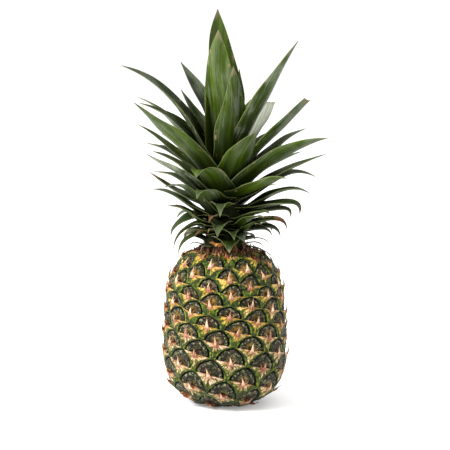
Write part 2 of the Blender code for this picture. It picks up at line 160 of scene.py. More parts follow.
eye_rises = {0: FIRST_EYE_RISE}
for eye in range(1, HIGHEST_EYE + RIGHT_ROW + LEFT_ROW + 2):
    eye_rises[eye] = eye_rises[eye - 1] + eye_step(eye_rises[eye - 1])
for eye in range(-1, LOWEST_EYE - RIGHT_ROW - LEFT_ROW - 2, -1):
    eye_rises[eye] = eye_rises[eye + 1] - eye_step(eye_rises[eye + 1])


def short_way(azimuth):
    return (azimuth + 180.0) % 360.0 - 180.0


def eye_place(eye):
    """An eye's azimuth, its length along the outline, and millimetres round the fruit per degree."""
    row = eye % RIGHT_ROW
    azimuth = FIRST_EYE_AZIMUTH + eye * EYE_TURN + ROW_DRIFTS[row] * max(eye, 0)
    rise = eye_rises[eye] + ROW_LIFTS[row] * min(max(eye / ROW_LIFT_EYES, 0.0), 1.0)
    radius = np.interp(crowded(rise), outline_lengths, outline[:, 0])
    return azimuth, rise, math.radians(1.0) * radius


def corner_place(first):
    """Where the four eyes meet of which this is the lowest."""
    base, _, _ = eye_place(first)
    places = [eye_place(first + row) for row in (0, RIGHT_ROW, LEFT_ROW, RIGHT_ROW + LEFT_ROW)]
    azimuth = base + sum(short_way(place[0] - base) for place in places) / 4.0
    return azimuth, sum(place[1] for place in places) / 4.0


class RindMesh:
    """Gathers the eyes' points and faces; neighbours share the points of the edge between them."""

    def __init__(self):
        self.places = []
        self.faces = []
        self.marks = []
        self.edges = {}

    def put(self, azimuth, length, lift):
        self.places.append((azimuth, length, lift))
        return len(self.places) - 1

    def corner(self, first):
        if first not in self.edges:
            self.edges[first] = self.put(*corner_place(first), EDGE_LIFT)
        return self.edges[first]

    def side(self, eye, row):
        """The points between an eye and the one a row on, anticlockwise round the lower eye."""
        key = (eye, row)
        if key not in self.edges:
            firsts = (eye - LEFT_ROW, eye) if row == RIGHT_ROW else (eye, eye - RIGHT_ROW)
            azimuth, length, scale = eye_place(eye)
            (a, b), (c, d) = (corner_place(first) for first in firsts)
            start = np.array([short_way(a - azimuth) * scale, b - length])
            end = np.array([short_way(c - azimuth) * scale, d - length])
            out = (start + end) / np.hypot(*(start + end))
            points = []
            for step in range(1, SIDE_STEPS):
                t = step / SIDE_STEPS
                x, y = start + (end - start) * t + out * SIDE_BULGE * 4.0 * t * (1.0 - t)
                points.append(self.put(azimuth + x / scale, length + y, EDGE_LIFT))
            self.edges[key] = points
        return self.edges[key]

    def border(self, eye):
        """All the points round an eye, anticlockwise from its right corner."""
        firsts = (eye - LEFT_ROW, eye, eye - RIGHT_ROW, eye - RIGHT_ROW - LEFT_ROW)
        right, top, left, bottom = (self.corner(first) for first in firsts)
        return [
            right, *self.side(eye, RIGHT_ROW), top, *self.side(eye, LEFT_ROW),
            left, *self.side(eye - RIGHT_ROW, RIGHT_ROW)[::-1],
            bottom, *self.side(eye - LEFT_ROW, LEFT_ROW)[::-1],
        ]

    def face(self, corners, marks):
        self.faces.append(corners)
        self.marks.extend(marks)


def add_eye(rind, eye, chance):
    """One eye: rings of points from its middle to its edge, split along the lip of its bract."""
    azimuth, rise, scale = eye_place(eye)
    border = rind.border(eye)
    edge = np.array([
        (short_way(rind.places[index][0] - azimuth) * scale, rind.places[index][1] - rise)
        for index in border
    ])
    spokes, half = len(border), 2 * SIDE_STEPS
    far = np.hypot(*edge.T)
    way = edge / far[:, None]
    bearing = np.arctan2(edge[:, 1], edge[:, 0])
    tilt = math.atan2(*(edge[0] - edge[half])[::-1])
    after = np.roll(edge, -1, axis=0)
    area = abs(np.sum(edge[:, 0] * after[:, 1] - edge[:, 1] * after[:, 0])) / 2.0
    grow = math.sqrt(area / EYE_AREA)
    width = DISC_HALF_WIDTH * grow * chance.uniform(*DISC_WIDTHS)
    height = DISC_HEIGHT * grow * chance.uniform(*DISC_HEIGHTS)
    oval = 1.0 / np.hypot(np.cos(bearing - tilt) / width, np.sin(bearing - tilt) / height)
    # The lesser of the oval and the way to the eye's edge, blended softly.
    near = (oval ** -8 + (DISC_CLEARANCE * far) ** -8) ** -0.125
    radii = [share * near for share in DISC_RINGS]
    radii += [near + np.minimum(MARGIN_WIDTH, 0.45 * (far - near)), far]
    phase = chance.uniform(0.0, 2.0 * math.pi, 2)
    ribs = chance.uniform(*SEPAL_RIBS)
    plump = chance.uniform(-PLUMPNESS, PLUMPNESS)
    nature = (chance.random(), chance.random())
    groove_ring, last_ring = len(DISC_RINGS) - 1, len(radii) - 1
    spin = np.array([[math.cos(tilt), -math.sin(tilt)], [math.sin(tilt), math.cos(tilt)]])

    def ring_level(ring, upper):
        """Places, heights and marks all round one ring of the disc or of the bract."""
        radius = radii[ring]
        places = way * radius[:, None]
        places[:, 1] -= STAR_SAG * (1.0 - radius / far) ** 2
        if upper and ring <= groove_ring:
            share = DISC_RINGS[ring]
            lift = np.full(spokes, np.interp(share, *DISC_LIFT)) + plump * (1.0 - share)
            window = smooth(0.4, 0.65, share) * (1.0 - smooth(0.88, 0.96, share))
            lift += SEPAL_BUMP * window * np.sin(bearing * ribs + phase[0])
        elif upper:
            lift = np.full(spokes, MARGIN_LIFT)
        else:
            lift = np.interp(radius / far, *BRACT_LIFT)
            beside_lip = 1.0 - smooth(0.0, 0.5, np.abs(np.sin(bearing - tilt)))
            places[:, 1] += LIP_OVERHANG * (1.0 - radius / far) * beside_lip
        marks = np.column_stack([places @ spin, radius - (near if upper else far)])
        return places, lift, marks

    levels = {upper: [ring_level(ring, upper) for ring in range(last_ring + 1)] for upper in (True, False)}
    laid = {}

    def lay(ring, spoke, upper):
        """Puts a point once and returns it with its mark."""
        spot = spoke % spokes
        places, lift, marks = levels[upper][ring]
        if ring == last_ring:
            return border[spot], marks[spot]
        key = (ring, spot if ring else 0, upper)
        if key not in laid:
            x, y = places[spot]
            laid[key] = rind.put(azimuth + x / scale, rise + y, lift[spot])
        return laid[key], marks[spot]

    def add_face(corners, kind):
        rind.face([index for index, _ in corners], [(*mark, kind, *nature) for _, mark in corners])

    for upper, first in ((True, 0), (False, half)):
        for spoke in range(first, first + half):
            for ring in range(last_ring):
                corners = [
                    lay(ring, spoke, upper), lay(ring + 1, spoke, upper),
                    lay(ring + 1, spoke + 1, upper), lay(ring, spoke + 1, upper),
                ]
                if ring == 0:
                    corners.pop()
                add_face(corners, 0.0 if upper else 1.0)
    # The wall under the lip, in the bract's colours.
    for spoke, turned in ((0, False), (half, True)):
        for ring in range(last_ring):
            corners = []
            for at, upper in ((ring, True), (ring, False), (ring + 1, False), (ring + 1, True)):
                corners.append((lay(at, spoke, upper)[0], levels[False][at][2][spoke]))
            if ring + 1 == last_ring:
                corners.pop()
            add_face(corners[::-1] if turned else corners, 1.0)


def open_loops(faces, within):
    """The open edges among these points as closed chains, each in its faces' direction."""
    sides = set()
    for face in faces:
        for a, b in zip(face, face[1:] + face[:1]):
            if a in within and b in within:
                sides.add((a, b))
    follows = {a: b for a, b in sides if (b, a) not in sides}
    loops = []
    while follows:
        start, after = follows.popitem()
        loop = [start]
        while after != start:
            loop.append(after)
            after = follows.pop(after)
        loops.append(loop)
    return loops


def mesh_object(name, points, faces, marks, finish):
    """A smooth-shaded object; marks are named vectors, one for each face corner or each point."""
    mesh = bpy.data.meshes.new(name)
    mesh.from_pydata(np.asarray(points).tolist(), [], faces)
    for key, values in marks.items():
        values = np.asarray(values, np.float32)
        domain = "POINT" if len(values) == len(mesh.vertices) else "CORNER"
        mesh.attributes.new(key, "FLOAT_VECTOR", domain).data.foreach_set("vector", values.ravel())
    mesh.shade_smooth()
    mesh.set_sharp_from_angle(angle=math.radians(60.0))
    mesh.materials.append(finish)
    made = bpy.data.objects.new(name, mesh)
    bpy.context.collection.objects.link(made)
    return made


def linear(code):
    """A colour given in sRGB hex as linear RGBA."""
    parts = [int(code[index:index + 2], 16) / 255.0 for index in (1, 3, 5)]
    return (*(c / 12.92 if c <= 0.04045 else ((c + 0.055) / 1.055) ** 2.4 for c in parts), 1.0)


class Finish:
    """A material in the making. Each method adds a node and gives its output."""

    def __init__(self, name):
        self.material = bpy.data.materials.new(name)
        self.material.use_nodes = True
        self.tree = self.material.node_tree
        self.shader = self.tree.nodes["Principled BSDF"]

    def node(self, kind, inputs, out=0, **settings):
        """Adds a node. Inputs are values, hex colours, or the outputs that feed them."""
        made = self.tree.nodes.new(kind)
        for key, value in settings.items():
            setattr(made, key, value)
        for key, value in inputs.items():
            if isinstance(value, bpy.types.NodeSocket):
                self.tree.links.new(value, made.inputs[key])
            elif value is not None:
                made.inputs[key].default_value = linear(value) if isinstance(value, str) else value
        return made.outputs[out]

    def calc(self, operation, a, b=None, c=None):
        return self.node("ShaderNodeMath", {0: a, 1: b, 2: c}, operation=operation)

    def vector(self, operation, a, b=None, out=0):
        return self.node("ShaderNodeVectorMath", {0: a, 1: b}, out, operation=operation)

    def join(self, x, y, z=0.0):
        return self.node("ShaderNodeCombineXYZ", {0: x, 1: y, 2: z})

    def parts(self, vector):
        return [self.node("ShaderNodeSeparateXYZ", {0: vector}, out) for out in range(3)]

    def mark(self, name):
        """The three parts of one of the mesh's named vectors."""
        return self.parts(self.node("ShaderNodeAttribute", {}, 1, attribute_name=name))

    def place(self):
        """The place on the object, in metres."""
        return self.node("ShaderNodeTexCoord", {}, 3)

    def noise(self, place, scale, detail=2.0, roughness=0.5):
        inputs = {"Vector": place, "Scale": scale, "Detail": detail, "Roughness": roughness}
        return self.node("ShaderNodeTexNoise", inputs)

    def drawn_out(self, across, along, seed, crossways, lengthways, detail, roughness=0.5):
        """Noise in streaks, with so many waves per unit across and along."""
        x, y = self.calc("MULTIPLY", across, crossways), self.calc("MULTIPLY", along, lengthways)
        return self.noise(self.join(x, y, seed), 1.0, detail, roughness)

    def step(self, value, low, high, start=0.0, end=1.0):
        """Start up to low, end from high on, and a soft step between."""
        inputs = {0: value, 1: low, 2: high, 3: start, 4: end}
        return self.node("ShaderNodeMapRange", inputs, interpolation_type="SMOOTHSTEP")

    def mix(self, share, a, b):
        return self.node("ShaderNodeMix", {0: share, 6: a, 7: b}, 2, data_type="RGBA")

    def tint(self, share, a, b):
        """Multiplies one colour by another, by a share."""
        return self.node("ShaderNodeMix", {0: share, 6: a, 7: b}, 2, data_type="RGBA", blend_type="MULTIPLY")

    def ramp(self, value, *stops):
        output = self.node("ShaderNodeValToRGB", {0: value})
        elements = output.node.color_ramp.elements
        for index, (position, color) in enumerate((stops[0], stops[-1], *stops[1:-1])):
            stop = elements[index] if index < 2 else elements.new(position)
            stop.position = position
            stop.color = linear(color)
        return output

    def surface(self, color, roughness, height, depth, strength=1.0, shine=0.25):
        """Sets the surface: its colour, roughness, shine, and relief of so many millimetres."""
        self.shader.inputs["Specular IOR Level"].default_value = shine
        for key, value in (("Base Color", color), ("Roughness", roughness)):
            if isinstance(value, bpy.types.NodeSocket):
                self.tree.links.new(value, self.shader.inputs[key])
            else:
                self.shader.inputs[key].default_value = value
        bump = self.node("ShaderNodeBump", {"Height": height, "Distance": depth * MM, "Strength": strength})
        self.tree.links.new(bump, self.shader.inputs["Normal"])
        return self.material


def waxy_rind():
    """Living skin: dark waxy sepals, and bracts that run from dry tan to gold and green."""
    skin = Finish("waxy rind")
    across, up, gap = skin.mark("eye_place")
    is_bract, luck, other_luck = skin.mark("eye_nature")
    place = skin.place()
    fine = skin.noise(place, 620.0, 3.0, 0.65)
    spots = skin.noise(place, 330.0, 4.0, 0.6)
    blotches = skin.noise(place, 110.0, 2.0)
    # 0 low on the fruit, 1 near the crown, where the bracts are golden.
    height = skin.parts(place)[2]
    ripe = skin.step(height, 0.045, 0.105)
    ripe = skin.calc("MULTIPLY_ADD", skin.calc("SUBTRACT", luck, 0.5), 0.7, ripe)
    ripe = skin.node("ShaderNodeClamp", {0: ripe})

    # Streaks run out from the point over disc and bract.
    below = skin.calc("MULTIPLY", up, -1.0)
    bearing = skin.calc("ARCTAN2", below, across)
    reach = skin.vector("LENGTH", skin.join(across, up), out=1)
    seed = skin.calc("MULTIPLY", luck, 90.0)
    streaks = skin.drawn_out(bearing, reach, seed, 3.4, 0.16, 4.0, 0.65)

    # Sepals: mottled in rings, with pebbles of about 2 mm along the rim whose pale tops are partly a grey
    # bloom and partly a painted highlight.
    ripples = skin.calc("SINE", skin.calc("MULTIPLY_ADD", spots, 9.0, skin.calc("MULTIPLY", gap, 3.0)))
    mottle = skin.calc("MULTIPLY_ADD", skin.calc("SUBTRACT", streaks, 0.5), 0.5, spots)
    mottle = skin.calc("MULTIPLY_ADD", ripples, 0.05, mottle)
    mottle = skin.calc("MULTIPLY_ADD", skin.calc("SUBTRACT", fine, 0.5), 0.7, mottle)
    sepal = skin.ramp(mottle, (0.38, "#060A03"), (0.49, "#171E09"), (0.6, "#383F20"), (0.76, "#8C8C70"))
    sepal = skin.mix(skin.step(blotches, 0.48, 0.64, 0.0, 0.65), sepal, "#33211C")
    pebbles = skin.node("ShaderNodeTexVoronoi", {"Vector": place, "Scale": 430.0}, feature="SMOOTH_F1")
    rim = skin.calc("MULTIPLY", skin.step(gap, -4.6, -2.8), skin.step(gap, -0.9, -1.6))
    # Grey bloom and painted highlight on the pebbles' tops.
    bloom_and_sheen = skin.calc("MULTIPLY", skin.step(pebbles, 0.42, 0.14, 0.0, 0.85), rim)
    sepal = skin.mix(bloom_and_sheen, sepal, "#9CA58F")
    # A warm halo over the point, gold on ripe eyes and cream on the lower ones.
    ragged = skin.calc("MULTIPLY_ADD", spots, 5.0, -2.5)
    halo = skin.vector("LENGTH", skin.join(across, skin.calc("SUBTRACT", up, 1.6)), out=1)
    halo = skin.step(skin.calc("ADD", halo, ragged), 6.2, 2.8)
    halo = skin.calc("MULTIPLY", halo, skin.step(other_luck, 0.2, 0.8, 0.1, 0.9))
    halo = skin.calc("MULTIPLY", halo, skin.step(streaks, 0.4, 0.55, 0.25, 1.0))
    sepal = skin.mix(halo, sepal, skin.mix(ripe, "#A89F74", "#B08A30"))
    # The dark red-brown pit that the point stands in: partly its own colour, partly painted shade under
    # the point and the lip.
    pit_shade = skin.vector("LENGTH", skin.join(across, skin.calc("SUBTRACT", up, 0.3)), out=1)
    pit_shade = skin.step(skin.calc("ADD", pit_shade, ragged), 3.4, 1.8, 0.0, 0.85)
    sepal = skin.mix(pit_shade, sepal, "#36120A")

    # Green skin between the discs, streaked and flecked with brown.
    green = skin.ramp(spots, (0.36, "#0C1703"), (0.5, "#284004"), (0.62, "#4E6C0A"), (0.74, "#98A424"))
    green = skin.mix(skin.step(blotches, 0.56, 0.68, 0.0, 0.5), green, "#523420")

    # Bract: a star of dry tan and gold or cream that fades into green, in pale and dark streaks.
    wide = skin.calc("POWER", skin.calc("DIVIDE", skin.calc("ABSOLUTE", across), 19.0), 0.8)
    deep = skin.calc("POWER", skin.calc("DIVIDE", skin.calc("MAXIMUM", below, 0.0), 12.5), 0.8)
    star = skin.calc("ADD", wide, deep)
    star = skin.calc("MULTIPLY_ADD", skin.calc("SUBTRACT", 0.5, streaks), 2.2, star)
    star = skin.calc("MULTIPLY", star, 0.72)
    gold = skin.ramp(
        star, (0.0, "#5E2212"), (0.12, "#A8683C"), (0.25, "#CC9C56"), (0.42, "#CCA030"), (0.55, "#A4961E"),
        (0.68, "#5E760E"), (0.88, "#284006"),
    )
    cream = skin.ramp(
        star, (0.0, "#4A1C10"), (0.12, "#945F40"), (0.25, "#C69A86"), (0.42, "#BEA07C"), (0.55, "#8C8A40"),
        (0.68, "#4E6812"), (0.88, "#243A06"),
    )
    bract = skin.mix(ripe, cream, gold)
    near = skin.step(star, 0.7, 0.45)
    pale = skin.calc("MULTIPLY", skin.step(streaks, 0.51, 0.58, 0.0, 0.9), near)
    bract = skin.mix(pale, bract, skin.mix(ripe, "#F4DDD4", "#EAD684"))
    bract = skin.mix(skin.step(streaks, 0.48, 0.4, 0.0, 0.75), bract, "#222A06")
    bract = skin.mix(skin.step(fine, 0.5, 0.62, 0.0, 0.7), bract, "#4A2616")
    border = skin.calc("ADD", gap, skin.calc("MULTIPLY_ADD", spots, 3.6, -1.8))
    bract = skin.mix(skin.step(border, -2.4, -0.8), bract, green)
    wing = skin.step(skin.calc("ABSOLUTE", across), 12.0, 8.0, 0.0, 0.6)
    wing = skin.calc("MULTIPLY", wing, skin.step(fine, 0.58, 0.46))
    bract = skin.mix(skin.calc("MULTIPLY", skin.step(below, 0.8, 0.2), wing), bract, "#D8A680")
    # Red-brown round the root of the point: partly the dry tissue's own colour, partly painted shade under
    # the point.
    stain_and_shade = skin.step(skin.calc("ADD", reach, ragged), 4.0, 2.0, 0.0, 0.75)
    bract = skin.mix(stain_and_shade, bract, "#863C1C")

    # The groove round the disc is darkened with painted shade, less of it below the eye's middle, and has
    # a bright green rim outside it.
    rim = skin.calc("MULTIPLY", skin.step(gap, 0.9, 1.3), skin.step(gap, 2.8, 1.6))
    lush = skin.mix(skin.calc("MULTIPLY", rim, skin.step(spots, 0.44, 0.57)), green, "#849420")
    upper = skin.mix(skin.step(gap, 0.5, 1.0), sepal, lush)
    # Painted shade in the groove.
    groove_shade = skin.calc("ABSOLUTE", skin.calc("ADD", gap, skin.calc("MULTIPLY_ADD", fine, 2.4, -1.2)))
    groove_shade = skin.calc("MULTIPLY", skin.step(groove_shade, 1.1, 0.1), skin.step(spots, 0.62, 0.5, 0.25, 0.85))
    groove_shade = skin.calc("MULTIPLY", groove_shade, skin.step(up, 0.0, 4.0, 0.45, 1.0))
    upper = skin.mix(groove_shade, upper, "#101C04")
    color = skin.tint(1.0, skin.mix(is_bract, upper, bract), "#E4DAC4")
    # Painted shade: the lowest rows, near the table, are darker and browner.
    color = skin.tint(skin.step(height, 0.016, 0.004, 0.0, 0.7), color, "#8A6648")
    gloss = skin.node("ShaderNodeMix", {0: is_bract, 2: 0.36, 3: 0.55})
    gloss = skin.calc("MULTIPLY_ADD", spots, 0.2, gloss)
    relief = skin.node("ShaderNodeMix", {0: is_bract, 2: skin.calc("MULTIPLY", pebbles, -1.5), 3: streaks})
    relief = skin.calc("ADD", relief, skin.calc("MULTIPLY", fine, 0.8))
    return skin.surface(color, gloss, relief, 1.8, 1.0, 0.22)


def close_ends(rind, points):
    """Closes the base and the neck with flat rings, the base's with the stalk's socket in it."""
    base = ((REST_RADIUS, 0.0), (SOCKET_RADIUS, 0.0), (SOCKET_RADIUS, SOCKET_DEPTH))
    neck = ((NECK_RADIUS, NECK_HEIGHT),)
    edges = set()
    for entry in rind.edges.values():
        edges.update([entry] if isinstance(entry, int) else entry)
    loops = sorted(open_loops(rind.faces, edges), key=lambda loop: sum(points[index][2] for index in loop))
    # The marks of green skin away from any point: across, up, gap, bract and two draws.
    plain = (14.0, -6.0, 2.0, 1.0, 0.5, 0.5)
    for loop, rings in zip(loops, (base, neck)):
        for radius, height in rings:
            ring = []
            for index in loop:
                x, y, _ = points[index]
                reach = radius * MM / math.hypot(x, y)
                ring.append(len(points))
                points.append((x * reach, y * reach, height * MM))
            for a, b, c, d in zip(loop, loop[1:] + loop[:1], ring, ring[1:] + ring[:1]):
                rind.face([b, a, c, d], [plain] * 4)
            loop = ring
        rind.face(loop[::-1], [plain] * len(loop))


def build_rind():
    chance = np.random.default_rng(EYE_SEED)
    rind = RindMesh()
    for eye in range(LOWEST_EYE, HIGHEST_EYE + 1):
        add_eye(rind, eye, chance)
    azimuth, length, lift = np.array(rind.places).T
    smooth_places = on_rind(azimuth, length, lift) / MM / RUFFLE_SIZE
    ruffles = [noise.fractal(Vector(place), 1.0, 2.0, 3) for place in smooth_places]
    points = on_rind(azimuth, length, lift + RUFFLE * np.array(ruffles)).tolist()
    close_ends(rind, points)
    marks = np.array(rind.marks)
    made = mesh_object(
        "rind", points, rind.faces, {"eye_place": marks[:, :3], "eye_nature": marks[:, 3:]}, waxy_rind(),
    )
    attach(made, "root")
    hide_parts("fruit")


build_rind()


# The points. Each bract ends in a dry, papery point that stands up in front of the disc above it,
# pinkish tan with a dark tip. Fine dry hairs hang on at its root, and round the neck the bracts are
# all dry and frayed. They grew with the rind, and their roots are sunk in the bracts.

POINT_SECTIONS = 10
POINT_SIDES = 8
POINT_ROOT = -3.0
POINT_LENGTHS = (9.0, 12.5)
POINT_STANDS = (1.4, 3.0)
POINT_LEAN = 2.4
POINT_BASE_FADE = 16.0
FIRST_FRAYED_EYE = 84
HAIR_SIDES = 3
HAIR_SECTIONS = 5
HAIR_LENGTHS = (3.0, 7.0)
HAIR_HALF_WIDTHS = (0.15, 0.45)
POINT_SEED = 5
# Upright dry strips round the neck: how many, ranges of their root's radius and their length, and
# the height above which the outline is the neck's.
NECK_STRIPS = 280
STRIP_RADII = (18.6, 33.0)
STRIP_LENGTHS = (4.0, 12.0)
SHOULDER_HEIGHT = 110.0
# They lean inwards, but no further than the foot of the crown's stem.
STRIP_STOP = 18.4


class Spines:
    """Gathers tapered spines, each swept along a path with its flat side outwards."""

    def __init__(self):
        self.points = []
        self.faces = []
        self.marks = []

    def add(self, path, outward, widths, thicknesses, sides, luck, kind):
        """Path in metres; half widths and half thicknesses in millimetres at its points."""
        base = len(self.points)
        along = np.linspace(0.0, 1.0, len(path))
        course = np.gradient(path, axis=0)
        across = np.cross(course, outward)
        across /= np.linalg.norm(across, axis=1)[:, None]
        front = np.cross(across, course)
        front /= np.linalg.norm(front, axis=1)[:, None]
        turn = np.linspace(0.0, 2.0 * math.pi, sides, endpoint=False)
        for place, side, face, width, thickness, t in zip(path, across, front, widths, thicknesses, along):
            for angle in turn:
                off = side * width * math.cos(angle) + face * thickness * math.sin(angle)
                self.points.append(place + off * MM)
                self.marks.append((t, width * math.cos(angle), luck, kind))
        for section in range(len(path) - 1):
            for index in range(sides):
                a = base + section * sides + index
                b = base + section * sides + (index + 1) % sides
                self.faces.append([a, b, b + sides, a + sides])
        self.faces.append(list(range(base, base + sides))[::-1])
        self.faces.append(list(range(len(self.points) - sides, len(self.points))))


def dry_point():
    """Dried bract tissue: matt, finely ribbed lengthwise, and darker at the tip."""
    dry = Finish("dry point")
    along, across, luck = dry.mark("point_place")
    kind = dry.mark("point_kind")[0]
    place = dry.place()
    grain = dry.noise(place, 800.0, 3.0)
    lines = dry.drawn_out(across, along, dry.calc("MULTIPLY", luck, 50.0), 2.6, 2.5, 3.0, 0.6)
    shade = dry.calc("MULTIPLY_ADD", dry.calc("SUBTRACT", luck, 0.5), 0.2, lines)
    color = dry.ramp(shade, (0.34, "#5A3020"), (0.45, "#A87658"), (0.55, "#D6B294"), (0.68, "#F0DFC8"))
    frayed = dry.ramp(shade, (0.36, "#1C0C05"), (0.5, "#4C2810"), (0.61, "#965C30"), (0.74, "#DCB88C"))
    color = dry.mix(kind, color, frayed)
    color = dry.mix(dry.step(along, 0.6, 0.97, 0.0, 0.9), color, "#3A1A10")
    color = dry.mix(dry.step(along, 0.26, 0.1, 0.0, 0.65), color, "#7E3C22")
    color = dry.tint(1.0, color, "#E8E2D6")
    return dry.surface(color, 0.6, dry.calc("ADD", lines, grain), 0.4)


def build_points():
    chance = np.random.default_rng(POINT_SEED)
    spines = Spines()
    for eye in range(LOWEST_EYE, HIGHEST_EYE + 1):
        azimuth, rise, scale = eye_place(eye)
        outward = on_rind(azimuth, rise, 1.0) - on_rind(azimuth, rise, 0.0)
        if not outward.any():
            outward = np.array([0.0, 0.0, 1.0])
        frayed = float(eye >= FIRST_FRAYED_EYE)
        size = min(1.0, max(crowded(rise) / POINT_BASE_FADE, 0.3)) * (1.0 - 0.25 * frayed)
        length = chance.uniform(*POINT_LENGTHS) * size
        stand = chance.uniform(*POINT_STANDS) * size * (1.0 + frayed)
        lean = chance.uniform(-POINT_LEAN, POINT_LEAN)
        hook = chance.uniform(-0.7, 0.7)
        t = np.linspace(0.0, 1.0, POINT_SECTIONS)
        middle = lean * t ** 1.5 + hook * np.sin(math.pi * t)
        up = POINT_ROOT + length * t
        lift = 0.5 + stand * t ** 1.3 + 0.8 * np.sin(math.pi * np.minimum(t * 1.5, 1.0))
        widths = 2.1 * (1.0 - t) ** 3.2 + 0.9 * (1.0 - t) ** 0.8 + 0.12
        thicknesses = np.minimum(0.6 * widths, 0.85)
        path = on_rind(azimuth + middle / scale, rise + up, lift)
        spines.add(path, outward, widths, thicknesses, POINT_SIDES, chance.random(), frayed)
        for _ in range(chance.integers(2, 6) + 4 * int(frayed)):
            t = np.linspace(0.0, 1.0, HAIR_SECTIONS)
            reach = chance.uniform(*HAIR_LENGTHS) * size
            start, aim = chance.uniform(-2.6, 2.6), chance.uniform(-0.9, 0.9)
            curl = chance.uniform(-1.5, 1.5)
            x = start + reach * (math.sin(aim) * t + 0.25 * curl * t * t)
            y = -1.0 + reach * math.cos(aim) * t
            z = 0.9 + chance.uniform(0.2, 1.6) * np.sin(math.pi * 0.8 * t)
            path = on_rind(azimuth + x / scale, rise + y, z)
            thickness = chance.uniform(*HAIR_HALF_WIDTHS) * (1.0 + frayed) * (1.0 - 0.8 * t)
            spines.add(path, outward, thickness, thickness, HAIR_SIDES, chance.random(), frayed)
    shoulder = outline[outline[:, 1] > SHOULDER_HEIGHT][::-1]
    for _ in range(NECK_STRIPS):
        azimuth = math.radians(chance.uniform(0.0, 360.0))
        outward = np.array([math.sin(azimuth), -math.cos(azimuth), 0.0])
        radius = chance.uniform(*STRIP_RADII)
        t = np.linspace(0.0, 1.0, POINT_SECTIONS)
        away = radius + chance.uniform(-6.0, 1.0) * t + chance.uniform(-1.0, 1.0) * np.sin(math.pi * t)
        away = np.maximum(away, STRIP_STOP)
        aside = chance.uniform(-3.0, 3.0) * t ** 2
        sideways = np.array([math.cos(azimuth), math.sin(azimuth), 0.0])
        path = outward * away[:, None] + sideways * aside[:, None]
        length = chance.uniform(*STRIP_LENGTHS) * np.interp(radius, STRIP_RADII, (1.0, 0.4))
        path[:, 2] = np.interp(radius, *shoulder.T) - 2.0 + length * t
        widths = chance.uniform(0.4, 1.0) * (1.0 - t ** 2) + 0.1
        spines.add(path * MM, outward, widths, 0.35 * widths + 0.1, POINT_SIDES, chance.random(), 1.0)
    points = np.array(spines.points)
    points[:, 2] = np.maximum(points[:, 2], 0.0)
    marks = np.array(spines.marks)
    kinds = np.repeat(marks[:, 3:], 3, axis=1)
    named = {"point_place": marks[:, :3], "point_kind": kinds}
    made = mesh_object("points", points, spines.faces, named, dry_point())
    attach(made, "root")


build_points()


# The cut stalk. The fruit is cut from its stalk at harvest, which leaves a round of pale fibrous
# pith in the base. The solid's shape is right, so only its finish is set here.


def cut_pith():
    """Dried cut pith: matt tan with darker fibre ends about 1 mm apart and a brown rim."""
    pith = Finish("cut pith")
    place = pith.place()
    fibres = pith.node("ShaderNodeTexVoronoi", {"Vector": place, "Scale": 900.0})
    out = pith.vector("LENGTH", pith.vector("MULTIPLY", place, (1.0, 1.0, 0.0)), out=1)
    color = pith.ramp(fibres, (0.1, "#7A5C36"), (0.5, "#C8AC7C"))
    color = pith.mix(pith.step(out, 0.009, 0.0122), color, "#5B4222")
    return pith.surface(color, 0.85, fibres, 0.5, 0.6)


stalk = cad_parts["cut_stalk"]
pith_finish = cut_pith()
for slot in stalk.material_slots:
    slot.material = pith_finish


# The crown. Its leaves sit in a spiral on a short stem. Each is a stiff trough with a thick keel and
# thin margins, dark green inside and paler outside, where a grey bloom, partly painted sheen, lies in
# fine lengthwise lines.

# The stem under the leaves: radius, height.
STEM = ((18.0, 140.3), (18.0, 147.0), (16.0, 165.0), (12.5, 187.0), (8.0, 207.0), (3.0, 215.0))
STEM_SIDES = 48
ROOT_DEPTH = 4.0
HANDLE = 0.38
# Width at the root, share of the length over which that fades, power of the taper, depth of the
# trough per width, width left at the tip.
FORMS = {
    "blade": (1.10, 0.25, 3.0, 0.32, 0.0),
    "broad": (1.00, 0.30, 3.6, 0.22, 0.0),
    "scale": (1.15, 0.30, 1.5, 0.22, 0.0),
    "cut": (1.00, 0.25, 2.0, 0.30, 0.72),
    "thread": (1.00, 0.01, 1.8, 0.20, 0.0),
}
KEEL_THICKNESS = 1.5
TIP_THICKNESS = 0.7
MARGIN_THICKNESS = 0.4
FLATTEN = 0.6
ACROSS = 12
SECTION_LENGTH = 3.5
FEWEST_SECTIONS = 14
SWAY = 0.012
FLUTTER = 0.05
TWIST = 0.16
PINCH = 0.05
NARROWEST = 0.3
LEAF_SEED = 3
